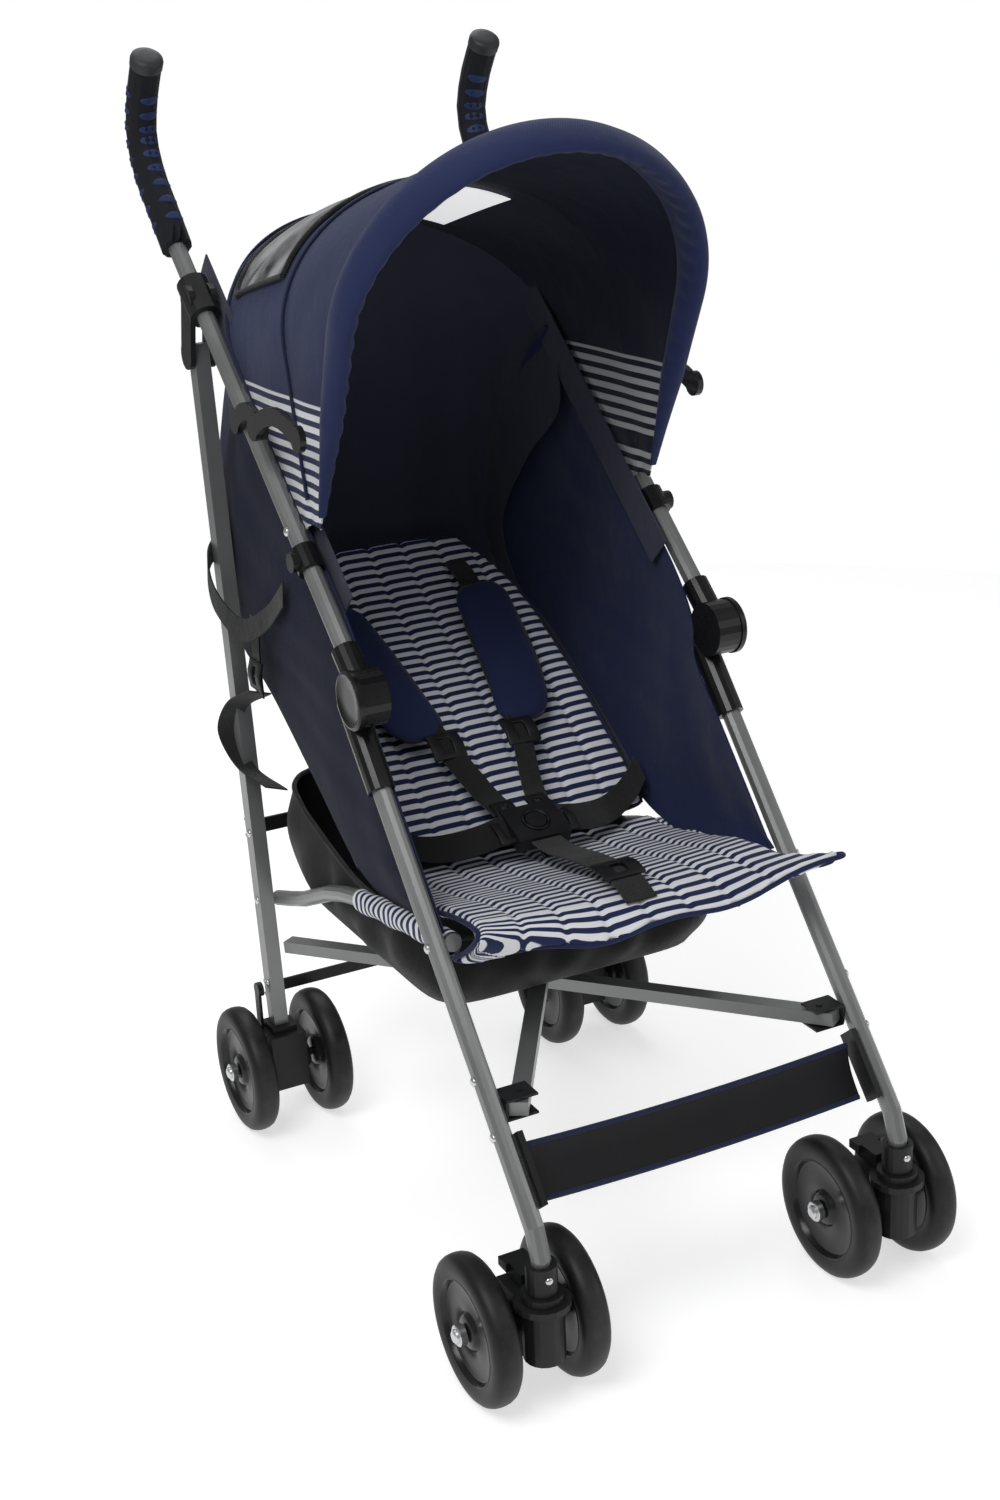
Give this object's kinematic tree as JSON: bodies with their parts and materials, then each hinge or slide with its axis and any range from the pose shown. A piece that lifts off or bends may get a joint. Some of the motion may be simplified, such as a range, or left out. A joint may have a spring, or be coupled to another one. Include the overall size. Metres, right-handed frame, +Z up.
{
  "type": "umbrella baby stroller",
  "caption": "Folding umbrella baby stroller: reclined sling seat with harness, round canopy, twin-wheel swivel casters, crossed folding arms, footrest and under-seat basket",
  "frame": {"origin": "on the floor under the middle of the bounding box", "axes": "X across the stroller, the child faces -Y and the handles are at +Y, Z up"},
  "size_m": [0.474, 0.7763, 1.0649],
  "materials": {
    "silver_paint": "grey-silver painted steel tube",
    "steel": "zinc-plated pressed steel",
    "black_plastic": "black moulded nylon",
    "gloss_plastic": "glossy black moulded plastic",
    "tyre": "solid black foam tyre on a black disc hub",
    "foam": "black foam hand grip",
    "navy_cloth": "navy woven polyester",
    "striped_cloth": "navy and white striped padded polyester",
    "dark_cloth": "black and dark navy woven polyester"
  },
  "bodies": {
    "frame_left": {"front_leg_left": "silver_paint", "push_tube_left": "silver_paint", "hub_left": "gloss_plastic", "grip_left": "foam", "upper_bracket_left": "black_plastic", "rear_leg_left": "silver_paint", "seat_tube_left": "silver_paint", "canopy_clamp_left": "gloss_plastic", "caster_collar_left": "black_plastic", "rear_housing_left": "black_plastic", "arm_bracket_left": "steel", "foot_bracket_left": "black_plastic", "side_panel_left": "navy_cloth"},
    "frame_right": {"front_leg_right": "silver_paint", "push_tube_right": "silver_paint", "hub_right": "gloss_plastic", "grip_right": "foam", "upper_bracket_right": "black_plastic", "rear_leg_right": "silver_paint", "seat_tube_right": "silver_paint", "canopy_clamp_right": "gloss_plastic", "caster_collar_right": "black_plastic", "rear_housing_right": "black_plastic", "arm_bracket_right": "steel", "foot_bracket_right": "black_plastic", "side_panel_right": "navy_cloth"},
    "sling": {"seat_pad": "striped_cloth", "back_panel": "dark_cloth", "canopy_rear": "navy_cloth", "basket": "dark_cloth", "footrest": "dark_cloth", "buckle": "black_plastic"},
    "recliner": {"backrest": "striped_cloth"},
    "canopy_bow": {"canopy_front": "navy_cloth"},
    "buckle_press": {"buckle_button": "black_plastic"},
    "pedal": {"brake_pedal": "black_plastic"},
    "fork_left": {"caster_fork_left": "black_plastic"},
    "lock_left": {"swivel_lock_left": "black_plastic"},
    "wheel_front_left_outer": {"front_wheel_left_outer": "tyre"},
    "wheel_rear_left_outer": {"rear_wheel_left_outer": "tyre"},
    "wheel_front_left_inner": {"front_wheel_left_inner": "tyre"},
    "wheel_rear_left_inner": {"rear_wheel_left_inner": "tyre"},
    "link_left": {"brake_link_left": "black_plastic"},
    "stay_rear_left": {"stay_rear_left": "gloss_plastic"},
    "stay_front_left": {"stay_front_left": "gloss_plastic"},
    "arm_left": {"cross_arm_left": "silver_paint"},
    "low_bar_left": {"brake_bar_left": "black_plastic"},
    "high_bar_left": {"rear_bar_left": "black_plastic"},
    "fork_right": {"caster_fork_right": "black_plastic"},
    "lock_right": {"swivel_lock_right": "black_plastic"},
    "wheel_front_right_outer": {"front_wheel_right_outer": "tyre"},
    "wheel_rear_right_outer": {"rear_wheel_right_outer": "tyre"},
    "wheel_front_right_inner": {"front_wheel_right_inner": "tyre"},
    "wheel_rear_right_inner": {"rear_wheel_right_inner": "tyre"},
    "link_right": {"brake_link_right": "black_plastic"},
    "stay_rear_right": {"stay_rear_right": "gloss_plastic"},
    "stay_front_right": {"stay_front_right": "gloss_plastic"},
    "arm_right": {"cross_arm_right": "silver_paint"},
    "low_bar_right": {"brake_bar_right": "black_plastic"},
    "high_bar_right": {"rear_bar_right": "black_plastic"}
  },
  "joints": [
    {"name": "width_fold", "type": "slide", "parent": "frame_left", "child": "frame_right", "axis": [-1, 0, 0], "range_m": [0, 0.185], "deforming": ["seat_pad", "back_panel", "canopy_rear", "basket", "footrest", "canopy_front", "backrest"]},
    {"name": "sling_follow", "type": "slide", "parent": "frame_left", "child": "sling", "axis": [-1, 0, 0], "range_m": [0, 0.093]},
    {"name": "backrest_recline", "type": "hinge", "parent": "sling", "child": "recliner", "pos_m": [0, 0, 0.328], "axis": [1, 0, 0], "range_deg": [0, 22]},
    {"name": "canopy_fold", "type": "hinge", "parent": "sling", "child": "canopy_bow", "pos_m": [0, 0.02548, 0.638], "axis": [-1, 0, 0], "range_deg": [0, 45]},
    {"name": "buckle_press", "type": "slide", "parent": "sling", "child": "buckle_press", "axis": [0, 0.4067, -0.9135], "range_m": [0, 0.0025], "stiffness_N_per_m": 800, "springref_m": -0.001},
    {"name": "caster_swivel_left", "type": "hinge", "parent": "frame_left", "child": "fork_left", "pos_m": [-0.178, -0.364, 0.09], "axis": [0, 0, 1], "continuous": true},
    {"name": "swivel_lock_left_tip", "type": "hinge", "parent": "fork_left", "child": "lock_left", "pos_m": [-0.178, -0.316, 0.1054], "axis": [1, 0, 0], "range_deg": [-18, 0]},
    {"name": "front_wheel_left_outer_spin", "type": "hinge", "parent": "fork_left", "child": "wheel_front_left_outer", "pos_m": [-0.219, -0.323, 0.065], "axis": [1, 0, 0], "continuous": true},
    {"name": "rear_wheel_left_outer_spin", "type": "hinge", "parent": "frame_left", "child": "wheel_rear_left_outer", "pos_m": [-0.219, 0.203, 0.065], "axis": [1, 0, 0], "continuous": true},
    {"name": "front_wheel_left_inner_spin", "type": "hinge", "parent": "fork_left", "child": "wheel_front_left_inner", "pos_m": [-0.137, -0.323, 0.065], "axis": [1, 0, 0], "continuous": true},
    {"name": "rear_wheel_left_inner_spin", "type": "hinge", "parent": "frame_left", "child": "wheel_rear_left_inner", "pos_m": [-0.137, 0.203, 0.065], "axis": [1, 0, 0], "continuous": true},
    {"name": "brake_link_left_drop", "type": "slide", "parent": "frame_left", "child": "link_left", "axis": [0, 0, -1], "range_m": [0, 0.0062]},
    {"name": "stay_rear_left_turn", "type": "hinge", "parent": "frame_left", "child": "stay_rear_left", "pos_m": [-0.19, 0.14392, 0.745], "axis": [-1, 0, 0], "range_deg": [0, 108]},
    {"name": "stay_front_left_turn", "type": "hinge", "parent": "stay_rear_left", "child": "stay_front_left", "pos_m": [-0.19, 0.08204, 0.74885], "axis": [-1, 0, 0], "range_deg": [-141, 0]},
    {"name": "cross_arm_left_turn", "type": "hinge", "parent": "frame_left", "child": "arm_left", "pos_m": [-0.15, -0.285, 0.24], "axis": [0, 0, 1], "range_deg": [0, 20.3]},
    {"name": "low_bar_left_turn", "type": "hinge", "parent": "frame_left", "child": "low_bar_left", "pos_m": [-0.178, 0.22677, 0.137], "axis": [0, 0, 1], "range_deg": [0, 56.1]},
    {"name": "high_bar_left_turn", "type": "hinge", "parent": "frame_left", "child": "high_bar_left", "pos_m": [-0.178, 0.24095, 0.312], "axis": [0, 0, 1], "range_deg": [0, 56.1]},
    {"name": "caster_swivel_right", "type": "hinge", "parent": "frame_right", "child": "fork_right", "pos_m": [0.178, -0.364, 0.09], "axis": [0, 0, 1], "continuous": true},
    {"name": "swivel_lock_right_tip", "type": "hinge", "parent": "fork_right", "child": "lock_right", "pos_m": [0.178, -0.316, 0.1054], "axis": [1, 0, 0], "range_deg": [-18, 0]},
    {"name": "front_wheel_right_outer_spin", "type": "hinge", "parent": "fork_right", "child": "wheel_front_right_outer", "pos_m": [0.219, -0.323, 0.065], "axis": [1, 0, 0], "continuous": true},
    {"name": "rear_wheel_right_outer_spin", "type": "hinge", "parent": "frame_right", "child": "wheel_rear_right_outer", "pos_m": [0.219, 0.203, 0.065], "axis": [1, 0, 0], "continuous": true},
    {"name": "front_wheel_right_inner_spin", "type": "hinge", "parent": "fork_right", "child": "wheel_front_right_inner", "pos_m": [0.137, -0.323, 0.065], "axis": [1, 0, 0], "continuous": true},
    {"name": "rear_wheel_right_inner_spin", "type": "hinge", "parent": "frame_right", "child": "wheel_rear_right_inner", "pos_m": [0.137, 0.203, 0.065], "axis": [1, 0, 0], "continuous": true},
    {"name": "brake_link_right_drop", "type": "slide", "parent": "frame_right", "child": "link_right", "axis": [0, 0, -1], "range_m": [0, 0.0062]},
    {"name": "stay_rear_right_turn", "type": "hinge", "parent": "frame_right", "child": "stay_rear_right", "pos_m": [0.19, 0.14392, 0.745], "axis": [-1, 0, 0], "range_deg": [0, 108]},
    {"name": "stay_front_right_turn", "type": "hinge", "parent": "stay_rear_right", "child": "stay_front_right", "pos_m": [0.19, 0.08204, 0.74885], "axis": [-1, 0, 0], "range_deg": [-141, 0]},
    {"name": "cross_arm_right_turn", "type": "hinge", "parent": "frame_right", "child": "arm_right", "pos_m": [0.15, -0.285, 0.236], "axis": [0, 0, -1], "range_deg": [0, 20.3]},
    {"name": "low_bar_right_turn", "type": "hinge", "parent": "frame_right", "child": "low_bar_right", "pos_m": [0.178, 0.22677, 0.137], "axis": [0, 0, -1], "range_deg": [0, 56.1]},
    {"name": "high_bar_right_turn", "type": "hinge", "parent": "frame_right", "child": "high_bar_right", "pos_m": [0.178, 0.24095, 0.312], "axis": [0, 0, -1], "range_deg": [0, 56.1]},
    {"name": "brake_pedal_press", "type": "hinge", "parent": "low_bar_left", "child": "pedal", "pos_m": [0, 0.23177, 0.133], "axis": [-1, 0, 0], "range_deg": [0, 18]}
  ],
  "couplings": [
    {"joint": "sling_follow", "follows": "width_fold", "ratio": 0.5},
    {"joint": "brake_link_left_drop", "follows": "brake_pedal_press", "m_per_rad": 0.019099},
    {"joint": "stay_rear_left_turn", "follows": "canopy_fold", "ratio": 2.3857},
    {"joint": "stay_front_left_turn", "follows": "canopy_fold", "ratio": -3.1015},
    {"joint": "cross_arm_left_turn", "follows": "width_fold", "rad_per_m": 1.9011},
    {"joint": "low_bar_left_turn", "follows": "width_fold", "rad_per_m": 5.2832},
    {"joint": "high_bar_left_turn", "follows": "width_fold", "rad_per_m": 5.2832},
    {"joint": "brake_link_right_drop", "follows": "brake_pedal_press", "m_per_rad": 0.019099},
    {"joint": "stay_rear_right_turn", "follows": "canopy_fold", "ratio": 2.3857},
    {"joint": "stay_front_right_turn", "follows": "canopy_fold", "ratio": -3.1015},
    {"joint": "cross_arm_right_turn", "follows": "width_fold", "rad_per_m": 1.9011},
    {"joint": "low_bar_right_turn", "follows": "width_fold", "rad_per_m": 5.2832},
    {"joint": "high_bar_right_turn", "follows": "width_fold", "rad_per_m": 5.2832}
  ]
}
